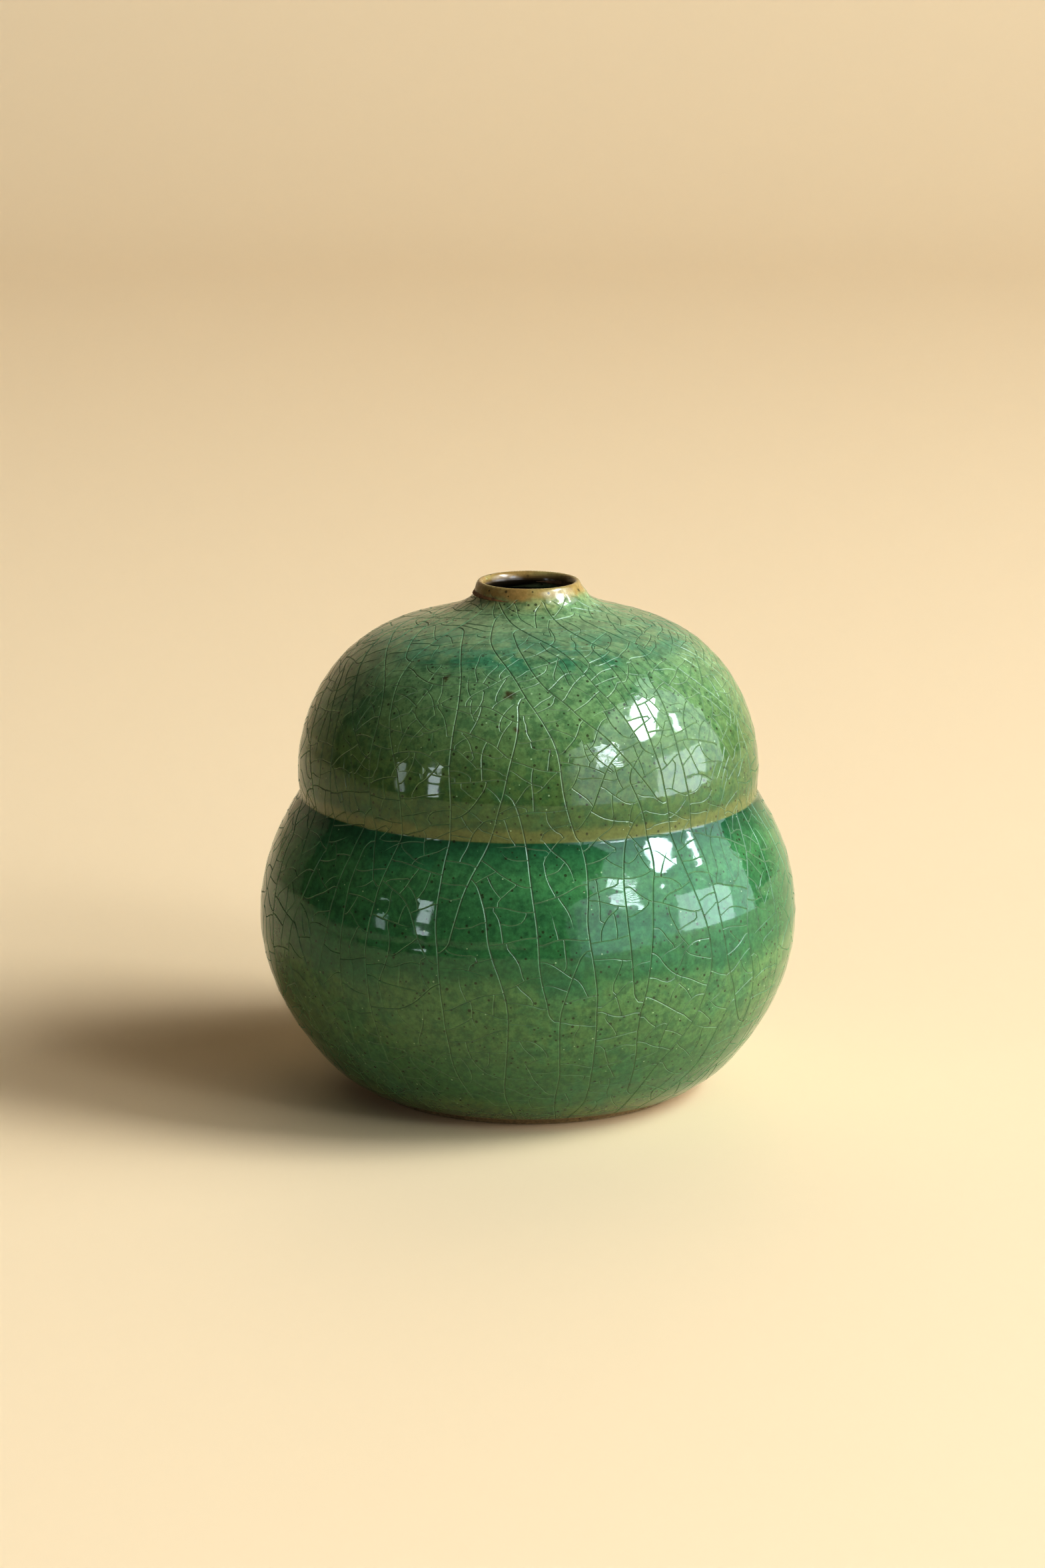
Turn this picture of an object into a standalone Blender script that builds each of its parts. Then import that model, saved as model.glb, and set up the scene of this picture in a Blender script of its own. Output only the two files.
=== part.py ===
"""Ceramic bud vase: two thrown stoneware sections luted at the waist, glazed outside and lined inside.

Units are metres, with +Z up. The origin is the centre of the foot, on the surface that the vase stands on.
Every piece is turned: a half outline at +X, swept round the Z axis by a Screw modifier.
"""

import math

import bpy
from mathutils import Vector
from mathutils.geometry import interpolate_bezier

MM = 0.001

# Outside of the finished vase: radius and height of its main points, from the foot up
FOOT = Vector((27.3, 0.0)) * MM
HEEL = Vector((28.3, 0.8)) * MM
BELLY = Vector((47.5, 30.8)) * MM
CREASE = Vector((40.3, 53.2)) * MM
CHEEK = Vector((40.6, 56.9)) * MM
SHOULDER = Vector((24.3, 82.5)) * MM

# The mouth: inside radius, wall of its half-round lip, and the height of the lip's crest
MOUTH_RADIUS = 7.4 * MM
LIP_WALL = 1.6 * MM
HEIGHT = 90.5 * MM

# Slope of the outline at those points, measured from straight out towards straight up and beyond
HEEL_SLOPE = math.radians(9)
UPRIGHT = math.radians(90)
CREASE_SLOPE = math.radians(120)
SHOULDER_SLOPE = math.radians(160)
LIP_SLOPE = math.radians(112)

# How far the outline holds its slope on leaving a point (UP) and on coming to it (DOWN)
HEEL_UP = 7.5 * MM
BELLY_DOWN = 14.1 * MM
BELLY_UP = 11.4 * MM
CREASE_DOWN = 5.3 * MM
CHEEK_UP = 12.1 * MM
SHOULDER_DOWN = 9.7 * MM
SHOULDER_UP = 8.6 * MM
LIP_DOWN = 4.6 * MM

# Thicknesses, and the clearance between neighbouring pieces
GAP = 0.3 * MM
GLAZE = 0.6 * MM
LINER = 0.4 * MM
BODY_WALL = 4.6 * MM
NECK_TAPER_FROM = 78.0 * MM
SEAM_THICKNESS = 0.8 * MM

# Underside and inside floor
RING_INNER = 22.5 * MM
RECESS_RADIUS = 20.5 * MM
RECESS_HEIGHT = 2.0 * MM
FLOOR_HEIGHT = 6.6 * MM
FLOOR_CROWN = 0.3 * MM
FLOOR_RADIUS = 23.0 * MM

# Points along the outline where a coat starts or stops, counted from the bottom of its lobe
GLAZE_FROM = 1
INSIDE_FROM = 2
GLAZE_TO = -2
LINER_TO = -4

# Fineness of the solids
BELLY_POINTS = 8
CREASE_POINTS = 6
DOME_POINTS = 8
NECK_POINTS = 8
LIP_POINTS = 7
STEPS = 48
MERGE = 0.00005


def clear_scene():
    for old in list(bpy.data.objects):
        bpy.data.objects.remove(old)


def heading(slope):
    """Unit vector of a slope, in the plane of the half outline."""
    return Vector((math.cos(slope), math.sin(slope)))


def curve(start, leaving, up, end, arriving, down, count):
    """Points of one Bezier stretch of the outline, with both its ends."""
    first = start + heading(leaving) * up
    second = end - heading(arriving) * down
    flat = interpolate_bezier(start, first, second, end, count)
    return [Vector((point[0], point[1])) for point in flat]


def lower_outline():
    """Outside of the lower lobe, from the heel up to the crease at the waist."""
    belly = curve(HEEL, HEEL_SLOPE, HEEL_UP, BELLY, UPRIGHT, BELLY_DOWN, BELLY_POINTS)
    waist = curve(BELLY, UPRIGHT, BELLY_UP, CREASE, CREASE_SLOPE, CREASE_DOWN, CREASE_POINTS)
    return belly + waist[1:]


def upper_outline():
    """Outside of the upper lobe, from just above the crease to where the lip starts to round over."""
    collar = Vector((MOUTH_RADIUS + LIP_WALL, HEIGHT - LIP_WALL / 2))
    dome = curve(CHEEK, UPRIGHT, CHEEK_UP, SHOULDER, SHOULDER_SLOPE, SHOULDER_DOWN, DOME_POINTS)
    neck = curve(SHOULDER, SHOULDER_SLOPE, SHOULDER_UP, collar, LIP_SLOPE, LIP_DOWN, NECK_POINTS)
    return [CREASE + Vector((0.0, GAP))] + dome + neck[1:]


def wall_at(height):
    """Distance from the outside to the clay's inside: even in the body, thinning up the neck to the lip."""
    share = (height - NECK_TAPER_FROM) / (HEIGHT - LIP_WALL / 2 - NECK_TAPER_FROM)
    share = min(max(share, 0.0), 1.0)
    return BODY_WALL + (LIP_WALL - BODY_WALL) * math.sin(share * math.pi / 2)


def inset(points, depth):
    """The outline moved inwards, square to itself, by a depth that is a function of the height."""
    moved = []
    for index, point in enumerate(points):
        before = points[max(index - 1, 0)]
        after = points[min(index + 1, len(points) - 1)]
        along = (after - before).normalized()
        moved.append(point - Vector((along.y, -along.x)) * depth(point.y))
    return moved


def inside(points, extra):
    """The clay's inside, or a surface that lies extra further in."""
    return inset(points, lambda height: wall_at(height) + extra)


def under_glaze(points, depth):
    """A surface at one even depth below the outside."""
    return inset(points, lambda height: depth)


def crossing(points, height):
    """Where an upward outline passes a height, or its nearer end carried straight to that height."""
    for lower, upper in zip(points, points[1:]):
        if lower.y <= height <= upper.y:
            return lower.lerp(upper, (height - lower.y) / (upper.y - lower.y))
    end = points[0] if height < points[0].y else points[-1]
    return Vector((end.x, height))


def cut_above(points, height):
    """An upward outline with its top cut off level at a height."""
    return [point for point in points if point.y < height - MERGE] + [crossing(points, height)]


def cut_below(points, height):
    """An upward outline with its bottom cut off level at a height."""
    return [crossing(points, height)] + [point for point in points if point.y > height + MERGE]


def floor(rise):
    """Inside of the floor from the axis outwards, lifted by rise."""
    middle = Vector((0.0, FLOOR_HEIGHT + rise))
    return [middle, middle + Vector((FLOOR_RADIUS, FLOOR_CROWN))]


def lining(extra):
    """A surface that lies extra inside the clay, from the middle of the floor up to where the liner stops."""
    lower = inside(lower_outline(), extra)[INSIDE_FROM:]
    upper = inside(upper_outline(), extra)[:LINER_TO + 1]
    return floor(extra) + lower + upper


def down(points):
    """The same outline, run from its top to its bottom."""
    return list(reversed(points))


def material(name, colour, roughness):
    made = bpy.data.materials.new(name)
    made.use_nodes = True
    shader = made.node_tree.nodes["Principled BSDF"]
    shader.inputs["Base Color"].default_value = (*colour, 1.0)
    shader.inputs["Roughness"].default_value = roughness
    shader.inputs["Metallic"].default_value = 0.0
    return made


def turned(name, outline, closed, colour, roughness, stand):
    """A solid of revolution. Its outline runs down its outer side; closed joins the outline's two ends."""
    collection, centre = stand
    count = len(outline)
    edges = [(index, index + 1) for index in range(count - 1)]
    if closed:
        edges.append((count - 1, 0))
    mesh = bpy.data.meshes.new(name)
    mesh.from_pydata([(point.x, 0.0, point.y) for point in outline], edges, [])
    mesh.materials.append(material(name, colour, roughness))
    made = bpy.data.objects.new(name, mesh)
    collection.objects.link(made)
    made.parent = centre
    screw = made.modifiers.new("Turn", "SCREW")
    screw.steps = STEPS
    screw.render_steps = STEPS
    screw.use_merge_vertices = True
    screw.merge_threshold = MERGE
    screw.use_smooth_shade = True
    return made


def make_lower_bowl(stand):
    """The lower thrown section: floor, belly and trimmed foot ring, open at the waist."""
    seam = CREASE.y - SEAM_THICKNESS / 2 - GAP
    lower = lower_outline()
    clay = under_glaze(lower, GLAZE + GAP)
    step = (lower[GLAZE_FROM] - lower[GLAZE_FROM - 1]).normalized() * GAP
    hollow = floor(0.0) + cut_above(inside(lower, 0.0)[INSIDE_FROM:], seam)
    glazed = [clay[GLAZE_FROM] - step] + cut_above(clay[GLAZE_FROM:], seam)
    bare = [HEEL, lower[GLAZE_FROM] - step]
    ring = [
        HEEL.lerp(FOOT, 0.6) + heading(-UPRIGHT / 2) * GAP,
        FOOT,
        Vector((RING_INNER, 0.0)),
        Vector((RECESS_RADIUS, RECESS_HEIGHT)),
        Vector((0.0, RECESS_HEIGHT)),
    ]
    outline = hollow + down(bare + glazed) + ring
    return turned("lower_bowl", outline, False, (0.42, 0.31, 0.21), 0.85, stand)


def make_upper_dome(stand):
    """The upper thrown section: dome, neck and the bare half-round lip, open at the waist and the mouth."""
    seam = CREASE.y + SEAM_THICKNESS / 2 + GAP
    upper = upper_outline()
    clay = under_glaze(upper, GLAZE + GAP)
    step = (upper[GLAZE_TO + 1] - upper[GLAZE_TO]).normalized() * GAP
    hollow = cut_below(inside(upper, 0.0), seam)
    glazed = cut_below(clay[:GLAZE_TO + 1], seam) + [clay[GLAZE_TO] + step]
    bare = [upper[GLAZE_TO] + step] + upper[GLAZE_TO + 1:]
    centre = (hollow[-1] + bare[-1]) / 2
    out = (bare[-1] - hollow[-1]) / 2
    crest = Vector((0.0, HEIGHT - centre.y))
    turns = [math.pi * index / (LIP_POINTS - 1) for index in range(1, LIP_POINTS - 1)]
    lip = [centre - out * math.cos(turn) + crest * math.sin(turn) for turn in turns]
    outline = hollow + lip + down(glazed + bare)
    return turned("upper_dome", outline, True, (0.52, 0.40, 0.24), 0.55, stand)


def make_seam(stand):
    """The ring of slip that lutes the two sections together."""
    half = SEAM_THICKNESS / 2
    outer = CREASE.x - GLAZE - 2 * GAP
    inner = CREASE.x - BODY_WALL + 2 * GAP
    corners = [(inner, -half), (inner, half), (outer, half), (outer, -half)]
    outline = [Vector((radius, CREASE.y + height)) for radius, height in corners]
    return turned("seam_slip", outline, True, (0.45, 0.33, 0.22), 0.9, stand)


def make_lower_glaze(stand):
    """The outside glaze of the lower lobe, from above the heel to the crease."""
    lower = lower_outline()
    outline = under_glaze(lower, GLAZE)[GLAZE_FROM:] + down(lower[GLAZE_FROM:])
    return turned("outer_glaze_lower", outline, True, (0.045, 0.16, 0.07), 0.12, stand)


def make_upper_glaze(stand):
    """The outside glaze of the upper lobe, from the crease up to the bare lip."""
    upper = upper_outline()[:GLAZE_TO + 1]
    outline = under_glaze(upper, GLAZE) + down(upper)
    return turned("outer_glaze_upper", outline, True, (0.10, 0.22, 0.09), 0.12, stand)


def make_liner(stand):
    """The poured glaze of the inside, one coat from the floor to just below the lip."""
    hollow = lining(GAP + LINER)
    backing = lining(GAP)
    outline = hollow + down(backing)
    return turned("liner_glaze", outline, False, (0.06, 0.13, 0.07), 0.18, stand)


def main():
    clear_scene()
    collection = bpy.data.collections.new("bud_vase")
    bpy.context.scene.collection.children.link(collection)
    centre = bpy.data.objects.new("wheel_centre", None)
    collection.objects.link(centre)
    stand = (collection, centre)
    make_lower_bowl(stand)
    make_seam(stand)
    make_upper_dome(stand)
    make_lower_glaze(stand)
    make_upper_glaze(stand)
    make_liner(stand)


main()
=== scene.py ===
"""Looks of the ceramic bud vase: crackled green glaze over tan stoneware, on a pale floor in window light.

The glazed skin is laid out in millimetres on a flat chart of the turned outline, with every craze line cut
into it as a real groove, and is then wrapped round the axis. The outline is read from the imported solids.
"""

import math
import random
from collections import defaultdict

import bmesh
import bpy
import numpy as np
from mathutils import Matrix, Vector
from mathutils.bvhtree import BVHTree
from mathutils.geometry import delaunay_2d_cdt
from mathutils.kdtree import KDTree


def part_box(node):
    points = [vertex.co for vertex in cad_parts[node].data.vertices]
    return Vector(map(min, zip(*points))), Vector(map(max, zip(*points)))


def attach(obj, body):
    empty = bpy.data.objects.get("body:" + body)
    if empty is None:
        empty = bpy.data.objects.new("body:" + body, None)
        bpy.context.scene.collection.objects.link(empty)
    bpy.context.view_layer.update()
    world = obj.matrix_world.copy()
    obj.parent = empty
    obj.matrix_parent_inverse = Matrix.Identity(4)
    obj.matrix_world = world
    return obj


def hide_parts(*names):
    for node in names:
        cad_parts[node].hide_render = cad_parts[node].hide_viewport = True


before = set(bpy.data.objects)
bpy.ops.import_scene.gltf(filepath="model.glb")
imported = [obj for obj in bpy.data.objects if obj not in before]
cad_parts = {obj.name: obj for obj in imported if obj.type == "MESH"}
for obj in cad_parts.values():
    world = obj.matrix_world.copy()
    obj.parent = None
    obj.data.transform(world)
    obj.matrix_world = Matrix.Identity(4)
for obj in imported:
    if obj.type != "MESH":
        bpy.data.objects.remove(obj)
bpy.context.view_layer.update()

MM = 0.001
SEED = 27

# The chart: u runs round the vase and v up its outline, in mm where the vase has this radius
UNIT = 40.0
HALF_TURN = math.pi * UNIT
FULL_TURN = 2 * HALF_TURN

# Craze lines: full width and depth of a groove by its rank, and the steps they grow by, in mm
GROOVES = [(0.36, 0.11), (0.32, 0.095), (0.28, 0.08)]
STEP = 0.8

# How each rank is laid: the room round a new line as a multiple of the cell size, the starts tried, how far
# a line wanders in radians a step, and its greatest length in mm
PASSES = [(3.0, 700, 0.035, 80.0), (1.6, 5000, 0.075, 26.0), (0.9, 22000, 0.10, 12.0)]

# How close to a craze line every place on the vase ends up: height and distance in mm
CELLS = [
    (2, 1.9), (12, 1.7), (24, 2.0), (36, 1.8), (46, 1.6),
    (53, 1.5), (60, 1.5), (70, 1.3), (80, 1.1), (88, 1.2),
]

# A growing line sees others this many steps off, joins one this many steps off, and turns towards it by this
# share of the way; a long one also turns back to the flow by this share of the way
SIGHT = 2.8
JOIN = 1.3
PULL = 0.28
RIGHTING = 0.06

# Craze lines start below one height and end by another, or up to this much lower, in mm
START_TOP = 88.5
END_TOP = 89.0
END_SPREAD = 1.5

# Spacing of the skin's mesh in mm: plain, at its finest, along the coat's rims, and on the hidden side,
# where it is also at most this many units of the chart
GRID = 1.3
FINE_GRID = 0.25
RIM_GRID = 0.6
HIDDEN_GRID = 4.0
HIDDEN_UNITS = 5

# The outline turns by about this many radians from row to row where it turns most, and rows of even
# triangles stand this share of a side apart
ROW_TURN = 0.12
ROW_SHARE = 0.87

# How far plain points keep from a craze line's middle and from the back seam, in mm
LINE_CLEARANCE = 0.4
SEAM_CLEARANCE = 0.3

# Spacing of the outline's points in mm, and how many points the waist's rounding has on each side
OUTLINE_STEP = 0.2
WAIST_POINTS = 6

# The glaze coat's drawn thickness, how far it stands proud of the lip and softens the neck under it, how
# far the neck leans, and the rounding at the waist, in mm
SKIN = 0.3
LIP_PROUD = 0.06
NECK_FILL = 0.2
NECK_LEAN = 0.4
WAIST_ROUNDING = 0.7

# How many sides the lower bowl is turned with, and the height in mm at the end of the colours' scale
BODY_SIDES = 192
SCALE_TOP = 92.0


# ---------------------------------------------------------------- outline, read from the frame


def free_rings(node, side):
    """Radius and height in mm of a turned node's rings, those open to the outside (1) or the axis (-1)."""
    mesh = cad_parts[node].data
    faces = [face.vertices for face in mesh.polygons]
    tree = BVHTree.FromPolygons([vertex.co for vertex in mesh.vertices], faces)
    rings = set()
    for vertex in mesh.vertices:
        radius, across, height = vertex.co
        if abs(across) > 1e-6 or radius <= 0:
            continue
        start = Vector((radius + side * 0.00008, 0.00002, height))
        reach = radius if side < 0 else 1.0
        if tree.ray_cast(start, Vector((side, 0.0, 0.0)), reach)[0] is None:
            rings.add((round(radius / MM, 3), round(height / MM, 3)))
    return sorted(rings, key=lambda ring: ring[1])


def whole_outline(node):
    """A turned node's closed outline in mm, walked round from the lowest point on the axis."""
    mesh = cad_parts[node].data
    spots = {}
    for vertex in mesh.vertices:
        radius, across, height = vertex.co
        if abs(across) < 1e-6 and radius > -1e-6:
            spots[vertex.index] = (round(abs(radius) / MM, 3), round(height / MM, 3))
    beside = defaultdict(set)
    for edge in mesh.edges:
        a, b = edge.vertices
        if a in spots and b in spots and spots[a] != spots[b]:
            beside[spots[a]].add(spots[b])
            beside[spots[b]].add(spots[a])
    start = min((spot for spot in beside if spot[0] == 0), key=lambda spot: spot[1])
    walk = [start]
    while True:
        ahead = [spot for spot in beside[walk[-1]] if spot not in walk]
        if not ahead:
            break
        walk.append(max(ahead))
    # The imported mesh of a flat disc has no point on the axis, so the walk can stop at the disc's rim
    if walk[-1][0] > 0:
        walk.append((0.0, walk[-1][1]))
    return walk if walk[0][1] < walk[-1][1] else walk[::-1]


def smooth_through(points, spacing):
    """A natural cubic spline through points, returned as points about one spacing apart."""
    knots = np.array(points, float)
    spans = np.linalg.norm(np.diff(knots, axis=0), axis=1)
    ends = np.concatenate([[0.0], np.cumsum(spans)])
    count = len(knots)
    matrix = np.eye(count)
    bend = np.zeros_like(knots)
    for i in range(1, count - 1):
        matrix[i, i - 1:i + 2] = spans[i - 1], 2 * (spans[i - 1] + spans[i]), spans[i]
        bend[i] = 6 * ((knots[i + 1] - knots[i]) / spans[i] - (knots[i] - knots[i - 1]) / spans[i - 1])
    curvature = np.linalg.solve(matrix, bend)
    place = np.linspace(0.0, ends[-1], max(2, round(ends[-1] / spacing) + 1))
    k = np.clip(np.searchsorted(ends, place, side="right") - 1, 0, count - 2)
    left = (ends[k + 1] - place)[:, None]
    right = (place - ends[k])[:, None]
    span = spans[k][:, None]
    cubic = (curvature[k] * left ** 3 + curvature[k + 1] * right ** 3) / (6 * span)
    line = (knots[k] / span - curvature[k] * span / 6) * left
    return cubic + line + (knots[k + 1] / span - curvature[k + 1] * span / 6) * right


def sideways(points):
    """Unit vectors square to an outline, to the right of its direction: outwards on an upward outline."""
    along = np.gradient(points, axis=0)
    along /= np.linalg.norm(along, axis=1)[:, None]
    return np.stack([along[:, 1], -along[:, 0]], axis=1)


def fade(value, low, high):
    """0 below low, 1 above high, smooth between; low may be the larger."""
    share = np.clip((value - low) / (high - low), 0.0, 1.0)
    return share * share * (3 - 2 * share)


def glazed_outlines():
    """The outer outlines of the two glaze coats, meeting at the waist in a small rounding."""
    lower_rings = free_rings("outer_glaze_lower", 1)
    upper_rings = free_rings("outer_glaze_upper", 1)
    glaze_top = upper_rings[-1][1]
    liner_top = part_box("liner_glaze")[1].z / MM
    lip = [ring for ring in free_rings("upper_dome", 1) if ring[1] > glaze_top]
    mouth = [ring for ring in free_rings("upper_dome", -1) if liner_top < ring[1] < lip[-1][1] - 0.02]
    crease = lower_rings[-1]
    below = smooth_through(lower_rings, OUTLINE_STEP)
    above = smooth_through([crease] + upper_rings[1:] + lip + mouth[::-1], OUTLINE_STEP)
    proud = fade(above[:, 1], 85.0, 88.0) * LIP_PROUD
    neck = fade(above[:, 1], 88.0, 89.2) * fade(above[:, 1], 90.5, 89.5) * NECK_FILL
    neck[above[:, 1].argmax():] = 0.0
    above = above + sideways(above) * (proud + neck)[:, None]
    cut = round(WAIST_ROUNDING / OUTLINE_STEP)
    first, last = below[-1 - cut], above[cut]
    share = np.linspace(0.0, 1.0, 2 * WAIST_POINTS + 1)[:, None]
    corner = np.array(crease)
    rounding = first * (1 - share) ** 2 + corner * 2 * share * (1 - share) + last * share ** 2
    lower = np.concatenate([below[:-1 - cut], rounding[:WAIST_POINTS + 1]])
    upper = np.concatenate([rounding[WAIST_POINTS:], above[cut + 1:]])
    return lower, upper


# ---------------------------------------------------------------- hand-thrown shape


def swell(angle, height):
    """How far the thrown wall stands off the true outline, in mm: throwing rings and a slight wander."""
    window = fade(height, 3.0, 10.0) * fade(height, 89.0, 84.0)
    rings = 0.026 * np.sin(height * 2 * math.pi / 5.3 + angle + 0.6 * np.sin(2 * angle))
    rings += 0.016 * np.sin(height * 2 * math.pi / 3.1 - angle + 0.5 * np.sin(3 * angle + height / 9))
    wander = 0.14 * np.sin(2 * angle + height / 30 + 0.4) + 0.07 * np.sin(3 * angle - height / 17 + 2.0)
    wander += 0.03 * np.sin(7 * angle + height / 5) + 0.02 * np.sin(11 * angle - height / 4 + 1.0)
    return window * (rings + wander)


class Chart:
    """One coat's closed outline laid flat, its outer side between v_first and v_last, angles kept true."""

    def __init__(self, outer, crease_at_end):
        facing = sideways(outer)
        inner = (outer - facing * SKIN)[::-1]
        half = len(inner) // 2
        foot, foot_facing = self.joining(inner[-1], outer[0])
        head, head_facing = self.joining(outer[-1], inner[0])
        back = -facing[::-1]
        self.outline = np.concatenate([inner[half:], foot, outer, head, inner[:half + 1]])
        self.facing = np.concatenate([back[half:], foot_facing, facing, head_facing, back[:half + 1]])
        first = len(inner) - half + len(foot)
        last = first + len(outer) - 1
        lengths = np.linalg.norm(np.diff(self.outline, axis=0), axis=1)
        radii = (self.outline[1:, 0] + self.outline[:-1, 0]) / 2
        v = np.concatenate([[0.0], np.cumsum(lengths * UNIT / radii)])
        self.v = v - v[last if crease_at_end else first]
        self.v_first, self.v_last = self.v[first], self.v[last]
        self.behind_first = self.v[first - len(foot) - 1]
        self.behind_last = self.v[last + len(head) + 1]

    @staticmethod
    def joining(a, b):
        """Two points just inside a straight edge from a to b, and the way that the edge faces."""
        run = b - a
        face = np.array([run[1], -run[0]]) / np.linalg.norm(run)
        return np.array([a + 0.01 * run, b - 0.01 * run]), np.array([face, face])

    def radius(self, v):
        return np.interp(v, self.v, self.outline[:, 0])

    def height(self, v):
        return np.interp(v, self.v, self.outline[:, 1])

    def scale(self, v):
        """Millimetres on the vase for one unit of the chart."""
        return self.radius(v) / UNIT

    def outward(self, v):
        """1 on the outer side and -1 on the hidden one, so that both move together."""
        return np.where((v > self.v_first - 1e-4) & (v < self.v_last + 1e-4), 1.0, -1.0)

    def place(self, u, v, depth):
        """Points on the vase in mm, depth mm below the thrown surface."""
        angle = u / UNIT
        height = self.height(v)
        off = self.outward(v) * swell(angle, height) - depth
        radius = self.radius(v) + off * np.interp(v, self.v, self.facing[:, 0])
        lean = NECK_LEAN * fade(height, 80.0, 86.0) * fade(height, 90.0, 88.0)
        height = height + off * np.interp(v, self.v, self.facing[:, 1])
        return np.stack([radius * np.sin(angle) + lean, -radius * np.cos(angle), height], axis=1)

    def normals(self, u, v):
        """The thrown surface's own normals, craze lines left out."""
        angle = u / UNIT
        radial = np.interp(v, self.v, self.facing[:, 0])
        upright = np.interp(v, self.v, self.facing[:, 1])
        height, side = self.height(v), self.outward(v)
        turn, climb = 0.002, 0.02
        east = (swell(angle + turn, height) - swell(angle - turn, height)) / (2 * turn * self.radius(v))
        north = (swell(angle, height + climb) - swell(angle, height - climb)) / (2 * climb) * radial
        outwards = np.stack([np.sin(angle), -np.cos(angle), np.zeros(len(u))], axis=1)
        eastwards = np.stack([np.cos(angle), np.sin(angle), np.zeros(len(u))], axis=1)
        normal = outwards * (radial + side * north * upright)[:, None] - eastwards * (side * east)[:, None]
        normal[:, 2] += upright - side * north * radial
        return normal / np.linalg.norm(normal, axis=1)[:, None]


# ---------------------------------------------------------------- craze lines


class Web:
    """Craze lines laid so far, as short segments sorted into square buckets of the chart."""

    # Side of a bucket, and how far past its reach a search takes in buckets, in units of the chart
    BUCKET = 4.0
    MARGIN = 3.8

    def __init__(self):
        self.buckets = defaultdict(list)
        self.lines = []

    def wrap(self, u):
        return (u + HALF_TURN) % FULL_TURN - HALF_TURN

    def lay(self, points, rank, joined):
        """Adds a line, with copies of it past the back seam so that a search never has to wrap."""
        if len(points) < 3:
            return
        for (u0, v0), (u1, v1) in zip(points, points[1:]):
            start = self.wrap(u0)
            for u in (start - FULL_TURN, start, start + FULL_TURN):
                if abs(u) < HALF_TURN + 10 * self.BUCKET:
                    key = (math.floor(u / self.BUCKET), math.floor(v0 / self.BUCKET))
                    self.buckets[key].append((u, v0, u1 - u0, v1 - v0))
        self.lines.append((np.array(points), rank, joined))

    def nearest(self, u, v, reach):
        """Distance to the nearest line, and the way to it."""
        u = self.wrap(u)
        best, way = reach, None
        size = self.BUCKET
        pad = reach + self.MARGIN
        for i in range(math.floor((u - pad) / size), math.floor((u + pad) / size) + 1):
            for j in range(math.floor((v - pad) / size), math.floor((v + pad) / size) + 1):
                for u0, v0, du, dv in self.buckets.get((i, j), ()):
                    share = ((u - u0) * du + (v - v0) * dv) / (du * du + dv * dv + 1e-12)
                    share = min(max(share, 0.0), 1.0)
                    pu, pv = u0 + share * du - u, v0 + share * dv - v
                    gap = math.hypot(pu, pv)
                    if gap < best:
                        best, way = gap, (pu, pv)
        return best, way


class Ground:
    """The two charts' outer sides as one: scale and height anywhere on the glazed surface."""

    def __init__(self, lower, upper):
        self.low, self.high = lower.v_first, upper.v_last
        v = np.linspace(self.low, self.high, 2000)
        self.scales = np.where(v < 0, lower.scale(v), upper.scale(v)).tolist()
        self.heights = np.where(v < 0, lower.height(v), upper.height(v)).tolist()
        self.lip = float(v[np.argmax(self.heights)])

    def look(self, v, values):
        share = (v - self.low) / (self.high - self.low) * (len(values) - 1)
        return values[min(max(round(share), 0), len(values) - 1)]

    def scale(self, v):
        return self.look(v, self.scales)

    def height(self, v):
        return self.look(v, self.heights)


def turn_towards(heading, wanted, share):
    """A heading moved part of the way to another, the short way round."""
    off = (wanted - heading + math.pi) % (2 * math.pi) - math.pi
    return heading + off * share


def flow(height):
    """The lean of the long lines: upright on the lower lobe, falling to the right on the upper one."""
    return math.radians(88 + 30 * float(fade(height, 50.0, 66.0)))


def grow(web, ground, start, heading, wander, longest, long_line, dice):
    """One craze line grown step by step until it meets another, dies out or reaches an edge."""
    u, v = start
    points = [(u, v)]
    bend = dice.gauss(0.0, wander)
    top = END_TOP - END_SPREAD * dice.random()
    walked = 0.0
    while walked < longest:
        unit = STEP / ground.scale(v)
        bend = bend * 0.85 + dice.gauss(0.0, wander * 0.5)
        heading += bend
        if long_line:
            lean = flow(ground.height(v))
            if math.cos(heading - lean) <= 0:
                lean += math.pi
            heading = turn_towards(heading, lean, RIGHTING)
        gap, way = web.nearest(u, v, SIGHT * unit)
        if way is not None and len(points) > 2:
            ahead = math.cos(heading) * way[0] + math.sin(heading) * way[1]
            if gap < JOIN * unit and ahead > 0:
                points.append((u + way[0], v + way[1]))
                return points, True
            if ahead > 0:
                heading = turn_towards(heading, math.atan2(way[1], way[0]), PULL)
        u += math.cos(heading) * unit
        v += math.sin(heading) * unit
        points.append((u, v))
        if v < ground.low or ground.height(v) > top:
            return points, True
        walked += STEP
    return points, False


def cell_size(height):
    """How close to a craze line a place at this height ends up, in mm."""
    heights, sizes = zip(*CELLS)
    return float(np.interp(height, heights, sizes))


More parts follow.
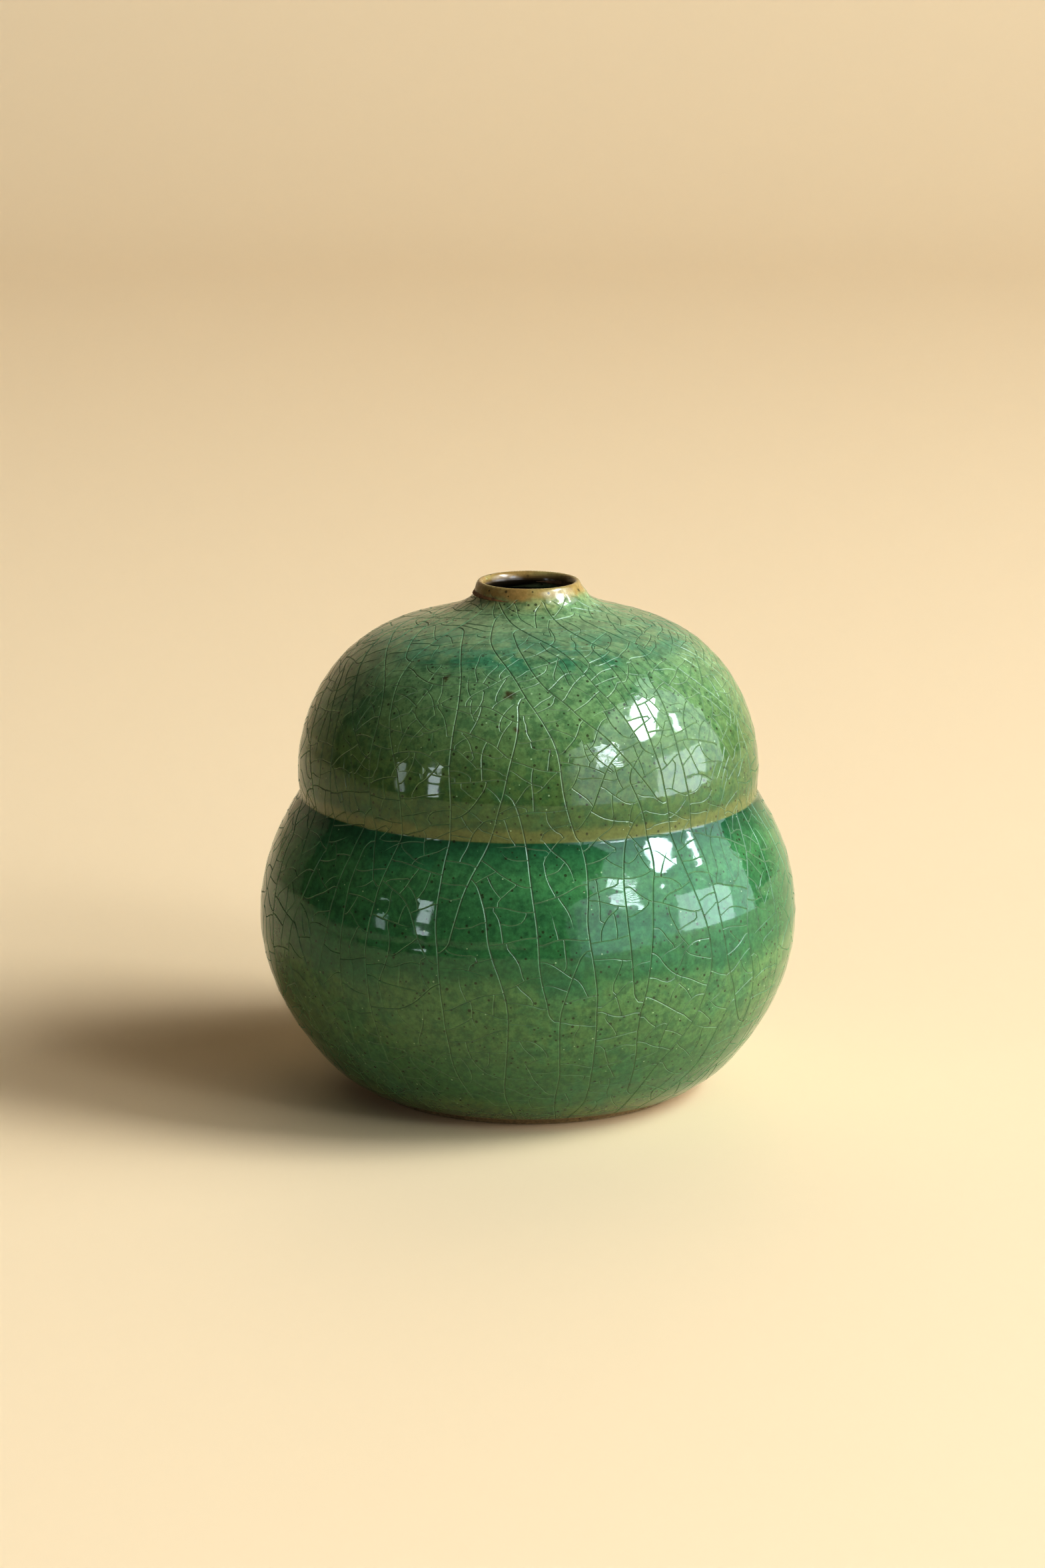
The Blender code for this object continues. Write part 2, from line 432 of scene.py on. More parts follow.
def craze(ground):
    """The whole web: long lines first, then ever shorter ones that end on those before them."""
    dice = random.Random(SEED)
    web = Web()
    for rank, (widen, tries, wander, longest) in enumerate(PASSES):
        long_line = rank == 0
        for _ in range(tries):
            u = dice.uniform(-HALF_TURN, HALF_TURN)
            v = dice.uniform(ground.low, ground.lip)
            height, scale = ground.height(v), ground.scale(v)
            if dice.random() > scale * scale or height > START_TOP:
                continue
            room = cell_size(height) * widen / scale
            if web.nearest(u, v, room)[1] is not None:
                continue
            length = longest * dice.uniform(0.45, 1.0)
            if long_line:
                heading = flow(height) + dice.gauss(0.0, 0.25)
            else:
                way = web.nearest(u, v, min(3.0 * room, 30.0))[1]
                heading = dice.uniform(0.0, math.pi) if way is None else math.atan2(way[1], way[0])
                heading += dice.gauss(0.0, 0.3)
                if dice.random() < 0.28:
                    length = dice.uniform(1.5, 5.0)
            start, back = (u, v), heading + math.pi
            ahead, met = grow(web, ground, start, heading, wander, length, long_line, dice)
            behind, met_behind = grow(web, ground, start, back, wander, length, long_line, dice)
            web.lay(behind[:0:-1] + ahead, rank, (met_behind, met))
    return web.lines


# ---------------------------------------------------------------- skin meshes


def strengths(count, joined):
    """How fully a craze line is open at each of its points: it closes towards an end that meets nothing."""
    steps = 0.15 + 0.28 * np.arange(count)
    share = np.ones(count)
    if not joined[0]:
        share = np.minimum(share, steps)
    if not joined[1]:
        share = np.minimum(share, steps[::-1])
    return share


class Grooves:
    """The craze lines near one coat, ready to be asked how deep they are at a place in its chart."""

    # A place further than this from every point of a segment, in mm, is outside its groove
    REACH = 0.45

    def __init__(self, chart, lines):
        self.chart = chart
        self.runs = []
        for points, rank, joined in lines:
            share = strengths(len(points), joined)
            home = points - [FULL_TURN * round(points[:, 0].mean() / FULL_TURN), 0.0]
            for turn in (-FULL_TURN, 0.0, FULL_TURN):
                path = home + [turn, 0.0]
                sides = path[:, 0].max() > -HALF_TURN - 6 and path[:, 0].min() < HALF_TURN + 6
                if sides and path[:, 1].max() > chart.v_first and path[:, 1].min() < chart.v_last:
                    self.runs.append((path, rank, share))
        self.segments = []
        for path, rank, share in self.runs:
            ends = path.tolist()
            for i in range(len(path) - 1):
                self.segments.append((*ends[i], *ends[i + 1], rank, share[i], share[i + 1]))
        self.tree = KDTree(len(self.segments) * 3)
        for i, (u0, v0, u1, v1, _, _, _) in enumerate(self.segments):
            for k, part in enumerate((0.0, 0.5, 1.0)):
                self.tree.insert((u0 + part * (u1 - u0), v0 + part * (v1 - v0), 0.0), i * 3 + k)
        self.tree.balance()

    def clearance(self, u, v, scale):
        """About how far in mm a place is from the nearest line's middle."""
        return self.tree.find((u, v, 0.0))[2] * scale

    def depth(self, u, v, scale):
        """Depth in mm of the grooves at a place, and how near it is to a line's middle, from 0 to 1."""
        deepest, mark = 0.0, 0.0
        for _, index, _ in self.tree.find_range((u, v, 0.0), self.REACH / scale):
            u0, v0, u1, v1, rank, open0, open1 = self.segments[index // 3]
            du, dv = u1 - u0, v1 - v0
            share = ((u - u0) * du + (v - v0) * dv) / (du * du + dv * dv + 1e-12)
            share = min(max(share, 0.0), 1.0)
            gap = math.hypot(u0 + share * du - u, v0 + share * dv - v) * scale
            width, depth = GROOVES[rank]
            wide = open0 + share * (open1 - open0)
            near = max(0.0, 1.0 - gap / (width / 2 * wide))
            deepest = max(deepest, near * depth * wide)
            mark = max(mark, near * wide)
        return deepest, mark

    def edge_lines(self):
        """Every line's middle and its two edges, as paths in the chart."""
        for path, rank, share in self.runs:
            yield path
            square = sideways(path) / self.chart.scale(path[:, 1])[:, None]
            half = (GROOVES[rank][0] / 2 * share)[:, None]
            yield path + square * half
            yield path - square * half


class Net:
    """Points and fixed edges gathered for one triangulation of a chart."""

    def __init__(self):
        self.points = []
        self.edges = []

    def line(self, points):
        first = len(self.points)
        self.points += [Vector((float(u), float(v))) for u, v in points]
        self.edges += [(first + i, first + i + 1) for i in range(len(points) - 1)]


def row_heights(chart):
    """The chart's rows and their spacing: close where the outline turns, wide on the hidden side."""
    along = np.concatenate([[0.0], np.cumsum(np.linalg.norm(np.diff(chart.outline, axis=0), axis=1))])
    turning = np.linalg.norm(np.gradient(chart.facing, axis=0), axis=1) / np.gradient(along)
    outer = (chart.v > chart.v_first + 0.1) & (chart.v < chart.v_last - 0.1)
    stops = [chart.v[0], chart.behind_first, chart.v_first, chart.v_last, chart.behind_last, chart.v[-1]]
    rows = []
    for start, stop in zip(stops, stops[1:]):
        v = start
        while v < stop:
            scale = float(chart.scale(v))
            spacing = min(HIDDEN_GRID, HIDDEN_UNITS * scale)
            if start == chart.v_first:
                near = outer & (chart.v > v - 0.8) & (chart.v < v + 2.0)
                spacing = FINE_GRID
                if near.any():
                    spacing = min(GRID, max(FINE_GRID, ROW_TURN / turning[near].max()))
            rows.append((v, max(spacing, 0.5)))
            step = ROW_SHARE * spacing / scale
            v = stop if v + 1.5 * step > stop else v + step
    rows.append((chart.v[-1], rows[0][1]))
    return rows


def triangulated(chart, grooves):
    """The chart's points and faces, with every craze line and the back seam among its edges."""
    rows = row_heights(chart)
    net = Net()
    for side in (-HALF_TURN, HALF_TURN):
        net.line([(side, v) for v, _ in rows])
    rims = (chart.behind_first, chart.v_first, chart.v_last, chart.behind_last)
    fixed = (chart.v[0], *rims, chart.v[-1])
    for i, (v, spacing) in enumerate(rows):
        scale = float(chart.scale(v))
        count = round(FULL_TURN * scale / (RIM_GRID if v in rims else spacing))
        if v in fixed:
            net.line([(-HALF_TURN + FULL_TURN * k / count, v) for k in range(count + 1)])
            continue
        hidden = not chart.v_first < v < chart.v_last
        for k in range(count):
            u = -HALF_TURN + FULL_TURN * (k + 0.5 * (i % 2)) / count
            off_seam = abs(abs(u) - HALF_TURN) * scale > SEAM_CLEARANCE
            if off_seam and (hidden or grooves.clearance(u, v, scale) > LINE_CLEARANCE):
                net.points.append(Vector((u, v)))
    for path in grooves.edge_lines():
        near = (path[:, 1] > chart.v_first - 2) & (path[:, 1] < chart.v_last + 2)
        for run in np.split(np.arange(len(path)), np.flatnonzero(np.diff(near.astype(int))) + 1):
            if near[run[0]] and len(run) > 1:
                net.line(path[run])
    flat, _, faces, _, _, _ = delaunay_2d_cdt(net.points, net.edges, [], 0, 1e-5)
    flat = np.array([tuple(point) for point in flat])
    kept = []
    for face in faces:
        u, v = flat[list(face)].mean(axis=0)
        if abs(u) < HALF_TURN and chart.v[0] < v < chart.v[-1]:
            kept.append(face)
    return flat, kept


def add_piece(name, mesh):
    piece = bpy.data.objects.new(name, mesh)
    bpy.context.scene.collection.objects.link(piece)
    return piece


def glaze_skin(name, chart, lines):
    """A closed coat of glaze with the craze lines cut into its outer side."""
    grooves = Grooves(chart, lines)
    flat, faces = triangulated(chart, grooves)
    u, v = flat[:, 0], flat[:, 1]
    depths, marks = np.zeros(len(flat)), np.zeros(len(flat))
    scales = chart.scale(v)
    for i in np.flatnonzero(chart.outward(v) > 0):
        depths[i], marks[i] = grooves.depth(u[i], v[i], scales[i])
    points = chart.place(u, v, depths)
    normals = chart.normals(u, v)
    work = bmesh.new()
    mark_layer = work.verts.layers.float.new("craze")
    source_layer = work.verts.layers.int.new("source")
    made = []
    for i, point in enumerate(points):
        vertex = work.verts.new(point * MM)
        vertex[mark_layer] = marks[i]
        vertex[source_layer] = i
        made.append(vertex)
    for face in faces:
        work.faces.new([made[i] for i in face])
    loose = [vertex for vertex in work.verts if not vertex.link_faces]
    bmesh.ops.delete(work, geom=loose, context="VERTS")
    bmesh.ops.remove_doubles(work, verts=work.verts, dist=0.0005 * MM)
    open_edges = sum(1 for edge in work.edges if len(edge.link_faces) != 2)
    source = np.array([vertex[source_layer] for vertex in work.verts])
    mesh = bpy.data.meshes.new(name)
    work.to_mesh(mesh)
    work.free()
    mesh.shade_smooth()
    corners = np.zeros(len(mesh.loops), int)
    mesh.loops.foreach_get("vertex_index", corners)
    split = normals[source[corners]]
    cut = depths[source[corners]] > 1e-4
    for face in mesh.polygons:
        span = slice(face.loop_start, face.loop_start + face.loop_total)
        if cut[span].any():
            split[span] = face.normal
    mesh.normals_split_custom_set(split.tolist())
    mesh.attributes.remove(mesh.attributes["source"])
    print(name, "faces", len(mesh.polygons), "open edges", open_edges)
    return add_piece(name, mesh)


def turned(name, outline, steps):
    """A smooth solid of revolution from an outline in mm, walked from its lowest point on the axis."""
    work = bmesh.new()
    rows = []
    for radius, height in outline:
        if radius < 1e-6:
            rows.append([work.verts.new((0.0, 0.0, height * MM))])
            continue
        ring = []
        for k in range(steps):
            angle = 2 * math.pi * k / steps
            place = Vector((radius * math.cos(angle), radius * math.sin(angle), height)) * MM
            ring.append(work.verts.new(place))
        rows.append(ring)
    for one, two in zip(rows, rows[1:]):
        for k in range(steps):
            after = (k + 1) % steps
            if len(one) == 1:
                work.faces.new((one[0], two[after], two[k]))
            elif len(two) == 1:
                work.faces.new((one[k], one[after], two[0]))
            else:
                work.faces.new((one[k], one[after], two[after], two[k]))
    mesh = bpy.data.meshes.new(name)
    work.to_mesh(mesh)
    work.free()
    mesh.shade_smooth()
    mesh.set_sharp_from_angle(angle=math.radians(40))
    return add_piece(name, mesh)


# ---------------------------------------------------------------- materials


def srgb(red, green, blue):
    """A colour as seen on a screen, from 0 to 255, turned into the values that materials take."""
    shares = [value / 255 for value in (red, green, blue)]
    linear = [share / 12.92 if share <= 0.04045 else ((share + 0.055) / 1.055) ** 2.4 for share in shares]
    return (*linear, 1.0)


class Nodes:
    """Short ways to add nodes to one material."""

    def __init__(self, name):
        self.material = bpy.data.materials.new(name)
        self.material.use_nodes = True
        self.tree = self.material.node_tree
        self.shader = self.tree.nodes["Principled BSDF"]

    def add(self, kind, inputs=(), **settings):
        node = self.tree.nodes.new(kind)
        for key, value in settings.items():
            setattr(node, key, value)
        for key, value in dict(inputs).items():
            self.put(node.inputs[key], value)
        return node

    def put(self, socket, value):
        if isinstance(value, bpy.types.NodeSocket):
            self.tree.links.new(value, socket)
        else:
            socket.default_value = value

    def maths(self, operation, a, b=0.0, c=0.0):
        return self.add("ShaderNodeMath", {0: a, 1: b, 2: c}, operation=operation).outputs[0]

    def blend(self, share, a, b):
        node = self.add("ShaderNodeMix", data_type="RGBA")
        self.put(node.inputs[0], share)
        self.put(node.inputs[6], a)
        self.put(node.inputs[7], b)
        return node.outputs[2]

    def ramp(self, share, stops):
        node = self.add("ShaderNodeValToRGB", {0: share})
        elements = node.color_ramp.elements
        while len(elements) < len(stops):
            elements.new(0.5)
        for element, (place, colour) in zip(elements, stops):
            element.position = place
            element.color = colour
        return node.outputs[0]

    def between(self, value, low, high):
        """0 at low, 1 at high and smooth between them."""
        node = self.add("ShaderNodeMapRange", interpolation_type="SMOOTHSTEP")
        if low > high:
            node.inputs[3].default_value, node.inputs[4].default_value = 1.0, 0.0
            low, high = high, low
        for k, part in enumerate((value, low, high)):
            self.put(node.inputs[k], part)
        return node.outputs[0]

    def millimetres(self):
        place = self.add("ShaderNodeTexCoord").outputs["Object"]
        return self.add("ShaderNodeVectorMath", {0: place, 3: 1 / MM}, operation="SCALE").outputs[0]

    def squeezed(self, place, across, up):
        """Places scaled across and up, so that noise over them is drawn out."""
        node = self.add("ShaderNodeVectorMath", {0: place, 1: (across, across, up)}, operation="MULTIPLY")
        return node.outputs[0]

    def noise(self, place, size, detail=2.0, rough=0.5):
        """Noise of about 0.25 to 0.75 with features about that many mm wide."""
        inputs = {"Vector": place, "Scale": 1 / size, "Detail": detail, "Roughness": rough}
        return self.add("ShaderNodeTexNoise", inputs).outputs[0]

    def specks(self, place, cell, radius, share):
        """Dots of up to that radius in mm, in a share of the cells of that size."""
        node = self.add("ShaderNodeTexVoronoi", {"Vector": place, "Scale": 1 / cell})
        parts = self.add("ShaderNodeSeparateColor", {0: node.outputs["Color"]})
        size = self.maths("MULTIPLY_ADD", parts.outputs[0], 0.6 * radius / cell, 0.4 * radius / cell)
        dot = self.between(self.maths("DIVIDE", node.outputs["Distance"], size), 1.0, 0.6)
        picked = self.maths("LESS_THAN", parts.outputs[1], share)
        return self.maths("MULTIPLY", dot, picked)

    def spot(self, place, centre, radius):
        """1 at a centre in mm, 0 past a radius."""
        gap = self.add("ShaderNodeVectorMath", {0: place, 1: centre}, operation="DISTANCE")
        return self.between(gap.outputs["Value"], radius, 0.25 * radius)


class Glaze(Nodes):
    """One glaze coat's nodes, and what its layers share: places in mm, three noises and the craze marks."""

    def __init__(self, name):
        super().__init__(name)
        self.place = self.millimetres()
        self.across, self.deep, self.height = self.add("ShaderNodeSeparateXYZ", {0: self.place}).outputs[:3]
        self.slow = self.maths("SUBTRACT", self.noise(self.place, 19.0), 0.5)
        self.medium = self.maths("SUBTRACT", self.noise(self.place, 5.0, 3.0, 0.6), 0.5)
        self.fine = self.noise(self.place, 0.8, 3.0, 0.7)
        self.mark = self.add("ShaderNodeAttribute", attribute_name="craze").outputs["Fac"]


# The glaze's colour by height in mm, from 0 to 255
LOWER_COLOURS = [
    (0, (94, 106, 56)),
    (4.5, (86, 112, 60)),
    (7.5, (64, 104, 60)),
    (14, (70, 108, 64)),
    (19, (84, 116, 70)),
    (29, (88, 122, 74)),
    (31.5, (58, 106, 64)),
    (42, (62, 112, 70)),
    (47, (72, 122, 76)),
    (50, (58, 108, 68)),
    (53, (36, 82, 54)),
]
UPPER_COLOURS = [
    (54, (74, 96, 54)),
    (58, (80, 104, 58)),
    (64, (88, 112, 66)),
    (72, (106, 134, 88)),
    (79, (114, 144, 100)),
    (84, (110, 142, 102)),
    (87, (124, 150, 106)),
    (88.6, (148, 152, 104)),
]
# Painted shade inside the mouth: the bare clay's colour by height in mm, near black deep down, from 0 to 255
THROAT_SHADE_COLOURS = [(88.2, (8, 6, 5)), (89.2, (34, 26, 14)), (90.1, (126, 98, 56))]

# Iron blotches on the dome: centre and radius in mm
BLOTCHES = [((-3.3, -32.7, 76.9), 1.4), ((-2.1, -36.6, 71.9), 1.0), ((-14.1, -27.6, 78.8), 1.1)]


def by_height(table):
    """A ramp's stops from a table of heights and colours."""
    return [(height / SCALE_TOP, srgb(*colour)) for height, colour in table]


def banded(n, colours):
    """The zones of colour, whose edges wander up and down except close to the waist."""
    wander = n.maths("ADD", n.maths("MULTIPLY", n.slow, 7.0), n.maths("MULTIPLY", n.medium, 4.0))
    off_waist = n.maths("ABSOLUTE", n.maths("SUBTRACT", n.height, 53.5))
    wander = n.maths("MULTIPLY", wander, n.between(off_waist, 0.5, 8.0))
    return n.ramp(n.maths("DIVIDE", n.maths("ADD", n.height, wander), SCALE_TOP), by_height(colours))


def pooled(n, colour):
    """Teal pools here and there, and a broken ring of them round the shoulder."""
    pools = n.between(n.maths("ADD", n.slow, n.maths("MULTIPLY", n.medium, 0.8)), 0.06, 0.2)
    colour = n.blend(n.maths("MULTIPLY", pools, 0.3), colour, srgb(46, 110, 76))
    ring = n.maths("MULTIPLY", n.between(n.height, 79.0, 81.5), n.between(n.height, 85.5, 83.0))
    patchy = n.between(n.noise(n.squeezed(n.place, 1.0, 0.6), 4.5, 3.0, 0.6), 0.42, 0.56)
    ring = n.maths("MULTIPLY", n.maths("MULTIPLY", ring, patchy), 0.75)
    return n.blend(ring, colour, srgb(62, 124, 92))


def mottled(n, colour):
    """Fine mottling, throwing streaks round the vase and faint runs down it."""
    clouds = n.between(n.noise(n.place, 1.7, 3.0, 0.65), 0.45, 0.62)
    colour = n.blend(n.maths("MULTIPLY", clouds, 0.42), colour, srgb(40, 84, 54))
    streaks = n.noise(n.squeezed(n.place, 0.12, 1.0), 1.6, 2.0, 0.6)
    runs = n.noise(n.squeezed(n.place, 1.0, 0.2), 2.6, 2.0, 0.6)
    value = n.maths("MULTIPLY_ADD", n.fine, 1.2, 0.1)
    value = n.maths("MULTIPLY_ADD", streaks, 0.3, value)
    value = n.maths("MULTIPLY_ADD", runs, 0.3, value)
    return n.add("ShaderNodeHueSaturation", {"Value": value, "Color": colour}).outputs[0]


def breaks(n):
    """Where the glaze breaks to tan, from 0 to 1: above the waist, and at the lip."""
    edge = n.maths("MULTIPLY_ADD", n.medium, 2.2, n.height)
    waist = n.maths("MULTIPLY", n.between(n.height, 53.0, 53.35), n.between(edge, 56.2, 54.6))
    lip = n.between(n.maths("MULTIPLY_ADD", n.medium, 2.4, n.height), 88.3, 89.6)
    return waist, lip


def tanned(n, colour, waist, lip):
    """The tan and ochre of the two breaks."""
    tan = n.blend(n.fine, srgb(78, 86, 44), srgb(130, 134, 78))
    colour = n.blend(n.maths("MULTIPLY", waist, 0.85), colour, tan)
    ochre = n.blend(n.between(n.medium, -0.1, 0.1), srgb(186, 168, 110), srgb(180, 146, 90))
    return n.blend(lip, colour, n.blend(n.fine, srgb(112, 94, 52), ochre))


def speckled(n, colour):
    """Brown iron blotches with ragged edges, dark specks and tiny pale pinholes, which are partly painted
    glints.
    """
    shift = n.add("ShaderNodeTexNoise", {"Vector": n.place, "Scale": 0.9, "Detail": 3.0}).outputs["Color"]
    parts = {0: shift, 1: (2.4, 2.4, 2.4), 2: n.place}
    ragged = n.add("ShaderNodeVectorMath", parts, operation="MULTIPLY_ADD").outputs[0]
    ragged = n.add("ShaderNodeVectorMath", {0: ragged, 1: (1.2, 1.2, 1.2)}, operation="SUBTRACT").outputs[0]
    for centre, radius in BLOTCHES:
        blotch = n.maths("MULTIPLY", n.spot(ragged, centre, radius), 0.85)
        colour = n.blend(blotch, colour, srgb(66, 46, 24))
    specks = n.specks(n.place, 1.25, 0.34, 0.85)
    colour = n.blend(n.maths("MULTIPLY", specks, 0.75), colour, srgb(44, 42, 24))
    # Pale pinholes, partly painted glints: tiny pale dots scattered over the glaze
    pinhole_glint_place = n.add("ShaderNodeVectorMath", {0: n.place, 1: (7.0, 3.0, 5.0)}).outputs[0]
    pale = n.specks(pinhole_glint_place, 1.5, 0.2, 0.5)
    return n.blend(n.maths("MULTIPLY", pale, 0.6), colour, srgb(180, 200, 160))


def crazed(n, colour):
    """Craze lines, with a painted highlight along their edges and painted shade in their middle."""
    # Painted highlight: the craze lines' edges are lightened as if light caught on them
    colour = n.blend(n.maths("MULTIPLY", n.between(n.mark, 0.0, 0.5), 0.3), colour, srgb(126, 152, 112))
    # Painted shade: the craze lines' middles are darkened as if in the groove's shadow
    return n.blend(n.maths("MULTIPLY", n.between(n.mark, 0.65, 0.95), 0.5), colour, srgb(40, 56, 34))


def shade_throat(n, colour):
    """Inside the mouth the clay is bare, and painted shade darkens it downwards."""
    across_squared = n.maths("MULTIPLY_ADD", n.across, n.across, n.maths("MULTIPLY", n.deep, n.deep))
    reach = n.maths("SQRT", across_squared)
    under_neck = n.maths("MAXIMUM", n.maths("SUBTRACT", 88.0, n.height), 0.0)
    limit = n.maths("MULTIPLY_ADD", under_neck, 1.2, 8.0)
    inside = n.between(n.maths("SUBTRACT", limit, reach), 0.0, 0.4)
    throat_shade_share = n.maths("MULTIPLY", inside, n.between(n.height, 79.0, 80.0))
    # Painted shade: near black deep in the mouth, lighter towards the lip
    shade = n.ramp(n.maths("DIVIDE", n.height, SCALE_TOP), by_height(THROAT_SHADE_COLOURS))
    return n.blend(throat_shade_share, colour, shade)


def glaze_material(name, colours):
    """The green crackle glaze, coloured by height: glossy, and duller at its breaks and in its craze."""
    n = Glaze(name)
    waist, lip = breaks(n)
    colour = mottled(n, pooled(n, banded(n, colours)))
    colour = speckled(n, tanned(n, colour, waist, lip))
    n.put(n.shader.inputs["Base Color"], shade_throat(n, crazed(n, colour)))
    rough = n.maths("MULTIPLY_ADD", n.medium, 0.08, 0.065)
    rough = n.maths("MULTIPLY_ADD", n.maths("MAXIMUM", lip, waist), 0.14, rough)
    rough = n.maths("MULTIPLY_ADD", n.between(n.mark, 0.0, 0.35), 0.4, rough)
    n.put(n.shader.inputs["Roughness"], rough)
    ripple = n.add("ShaderNodeBump", {"Height": n.noise(n.place, 3.2, 2.0, 0.5), "Distance": 0.000024})
    n.put(n.shader.inputs["Normal"], ripple.outputs[0])
    n.put(n.shader.inputs["IOR"], 1.5)
    return n.material


def clay_material(name, pale, dark):
    """Fired stoneware: a fine grain with darker iron grit."""
    n = Nodes(name)
    place = n.millimetres()
    grain = n.noise(place, 0.7, 4.0, 0.7)
    colour = n.blend(n.between(grain, 0.3, 0.7), srgb(*dark), srgb(*pale))
    colour = n.blend(n.specks(place, 1.8, 0.3, 0.6), colour, srgb(58, 40, 26))
    n.put(n.shader.inputs["Base Color"], colour)
    n.put(n.shader.inputs["Roughness"], n.maths("MULTIPLY_ADD", grain, 0.2, 0.65))
    ripple = n.add("ShaderNodeBump", {"Height": grain, "Distance": 0.00008})
    n.put(n.shader.inputs["Normal"], ripple.outputs[0])
    return n.material


def liner_material(name):
    """The glaze poured inside, seen only as a dark gleam down the mouth."""
    n = Nodes(name)
    mottle = n.noise(n.millimetres(), 4.0, 3.0, 0.6)
    n.put(n.shader.inputs["Base Color"], n.blend(mottle, srgb(30, 34, 18), srgb(62, 66, 36)))
    n.put(n.shader.inputs["Roughness"], n.maths("MULTIPLY_ADD", mottle, 0.1, 0.2))
    return n.material


def cover(node, material):
    """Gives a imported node's mesh one material."""
    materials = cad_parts[node].data.materials
    if not materials:
        materials.append(material)
    for i in range(len(materials)):
        materials[i] = material


# ---------------------------------------------------------------- the vase

lower_outline, upper_outline = glazed_outlines()
lower_chart = Chart(lower_outline, True)
upper_chart = Chart(upper_outline, False)
craze_lines = craze(Ground(lower_chart, upper_chart))

lower_skin = glaze_skin("crackle_glaze_lower", lower_chart, craze_lines)
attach(lower_skin, "root")
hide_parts("outer_glaze_lower")
lower_skin.data.materials.append(glaze_material("crackle_glaze_lower", LOWER_COLOURS))

upper_skin = glaze_skin("crackle_glaze_upper", upper_chart, craze_lines)
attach(upper_skin, "root")
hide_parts("outer_glaze_upper")
upper_skin.data.materials.append(glaze_material("crackle_glaze_upper", UPPER_COLOURS))

body = turned("stoneware_lower_bowl", whole_outline("lower_bowl"), BODY_SIDES)
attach(body, "root")
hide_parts("lower_bowl")
body.data.materials.append(clay_material("bare_stoneware", (156, 134, 94), (114, 96, 62)))
cover("upper_dome", clay_material("lip_stoneware", (150, 112, 70), (96, 66, 38)))
cover("seam_slip", clay_material("seam_slip", (170, 136, 96), (130, 98, 66)))
cover("liner_glaze", liner_material("liner_glaze"))


# ---------------------------------------------------------------- floor, backdrop and light


DAYLIGHT = (234, 244, 255)


def pale_paint():
    """The warm matt paint of the floor and the wall."""
    n = Nodes("pale_paint")
    n.put(n.shader.inputs["Base Color"], srgb(243, 219, 182))
    n.put(n.shader.inputs["Roughness"], 0.6)
    return n.material


def backdrop(paint):
    """A pale floor that sweeps up softly, well behind the vase. Sizes are in metres."""
    front, bend_start, bend, top, half_width, steps = -3.4, 1.2, 0.6, 3.0, 3.5, 16
    profile = [(front, 0.0), (bend_start, 0.0)]
    for step in range(1, steps + 1):
        angle = math.radians(90 * step / steps)
        profile.append((bend_start + bend * math.sin(angle), bend - bend * math.cos(angle)))
    profile.append((bend_start + bend, top))
    points = [(side, y, z) for y, z in profile for side in (-half_width, half_width)]
    faces = [(2 * i, 2 * i + 1, 2 * i + 3, 2 * i + 2) for i in range(len(profile) - 1)]
    mesh = bpy.data.meshes.new("backdrop")
    mesh.from_pydata(points, [], faces)
    mesh.shade_smooth()
    mesh.materials.append(paint)
    add_piece("backdrop", mesh)


def surround(paint):
    """A pale round wall about the floor, only there to be seen: it throws no light back on the vase."""
    radius, bottom, top, steps = 3.3, -0.05, 3.2, 96
    angles = [2 * math.pi * k / steps for k in range(steps)]
    ring = [(radius * math.cos(angle), radius * math.sin(angle)) for angle in angles]
    points = [(x, y, z) for z in (bottom, top) for x, y in ring]
    faces = [(k, (k + 1) % steps, steps + (k + 1) % steps, steps + k) for k in range(steps)]
    mesh = bpy.data.meshes.new("surround")
    mesh.from_pydata(points, [], faces)
    mesh.shade_smooth()
    mesh.materials.append(paint)
    piece = add_piece("surround", mesh)
    piece.visible_diffuse = False
    piece.visible_glossy = False
    piece.visible_shadow = False


def panel(name, distance, corners, strength):
    """A flat lit panel at x = distance, from its corners' y and z in metres, hidden from the camera."""
    mesh = bpy.data.meshes.new(name)
    mesh.from_pydata([(distance, y, z) for y, z in corners], [], [range(len(corners))])
    n = Nodes(name)
    n.put(n.shader.inputs["Base Color"], (0.0, 0.0, 0.0, 1.0))
    n.put(n.shader.inputs["Emission Color"], srgb(*DAYLIGHT))
    n.put(n.shader.inputs["Emission Strength"], strength)
    mesh.materials.append(n.material)
    piece = add_piece(name, mesh)
    piece.visible_camera = False


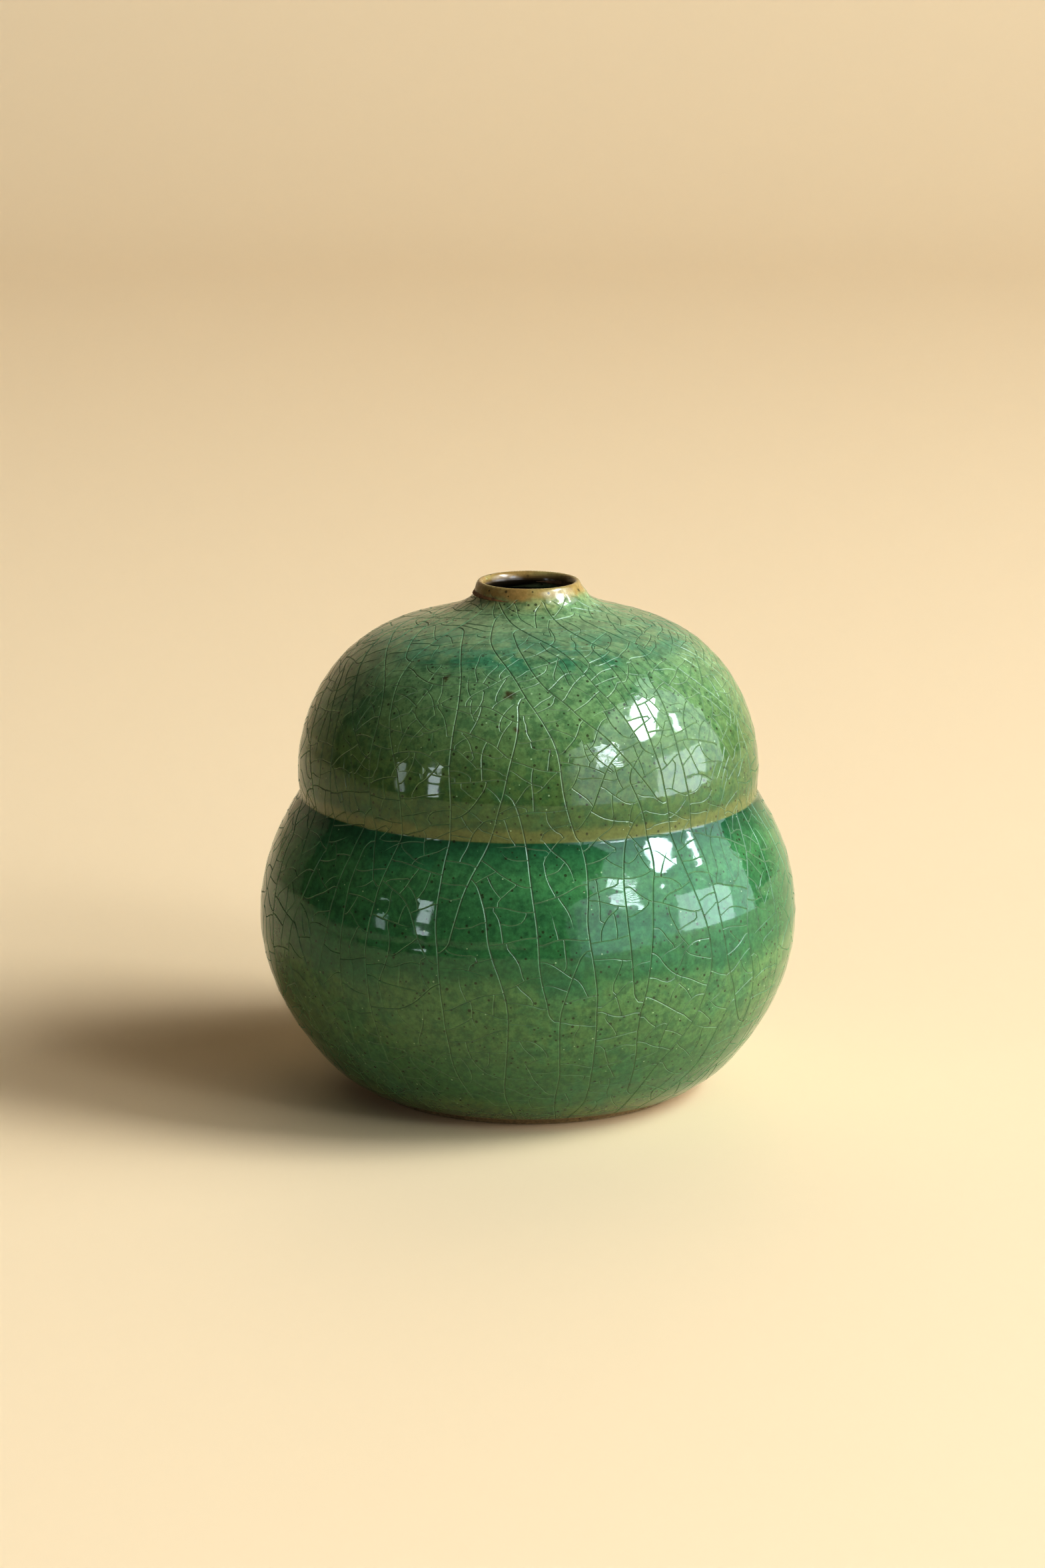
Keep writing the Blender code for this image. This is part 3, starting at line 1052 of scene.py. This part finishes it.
def slatted_blind():
    """Seven slanting slats, one above the other, that fan out with distance."""
    for slat in range(7):
        near, far = 1.28 + 0.09 * slat, 0.82 + 0.13 * slat
        corners = [(-2.35, near), (-1.45, far), (-1.45, far + 0.06), (-2.35, near + 0.045)]
        panel(f"blind_{slat}", 1.8, corners, 30)


def pale_wall():
    """The lit wall on the right, dimmer the further it runs towards the viewer."""
    for part, (near, far, strength) in enumerate(((0.8, -4.0, 3.3), (-4.0, -4.9, 2.1), (-4.9, -6.2, 1.0))):
        corners = [(far, 0.0), (near, 0.0), (near, 2.6), (far, 2.6)]
        panel(f"pale_wall_{part}", 1.85, corners, strength)


paint = pale_paint()
backdrop(paint)
surround(paint)
panel("window", 1.8, [(-0.86, 1.90), (-0.84, 1.04), (-0.30, 1.27), (0.20, 1.70), (0.24, 2.34)], 28)
panel("window_edge", 1.8, [
    (-0.12, 0.78), (0.05, 0.82), (0.17, 1.10), (0.10, 1.20), (0.03, 1.15), (0.06, 1.04), (-0.02, 0.88),
], 30)
panel("curtain", 1.81, [(-0.80, 0.02), (0.22, 0.02), (0.26, 0.52), (-0.19, 0.58), (-0.70, 0.70)], 9)
slatted_blind()
pale_wall()
panel("far_pane_upper", -1.8, [(-1.86, 0.52), (-1.54, 0.48), (-1.54, 0.84), (-1.86, 0.92)], 9)
panel("far_pane_lower", -1.8, [(-1.86, 0.18), (-1.56, 0.18), (-1.56, 0.41), (-1.86, 0.43)], 9)
panel("far_pane_side", -1.8, [(-0.96, 0.14), (-0.76, 0.14), (-0.76, 0.46), (-0.96, 0.48)], 4)

world = bpy.data.worlds.new("room")
world.use_nodes = True
background = world.node_tree.nodes["Background"]
background.inputs["Color"].default_value = srgb(236, 214, 180)
background.inputs["Strength"].default_value = 0.03
bpy.context.scene.world = world
bpy.context.scene.view_settings.view_transform = "Standard"
bpy.context.scene.view_settings.gamma = 0.77

camera = bpy.data.cameras.new("camera")
camera.lens = 107.14
camera.sensor_width = 36.0
viewer = bpy.data.objects.new("camera", camera)
viewer.location = (-0.00105, -0.801, 0.241)
viewer.rotation_euler = (math.radians(76.86), 0.0, 0.0)
bpy.context.scene.collection.objects.link(viewer)
bpy.context.scene.camera = viewer
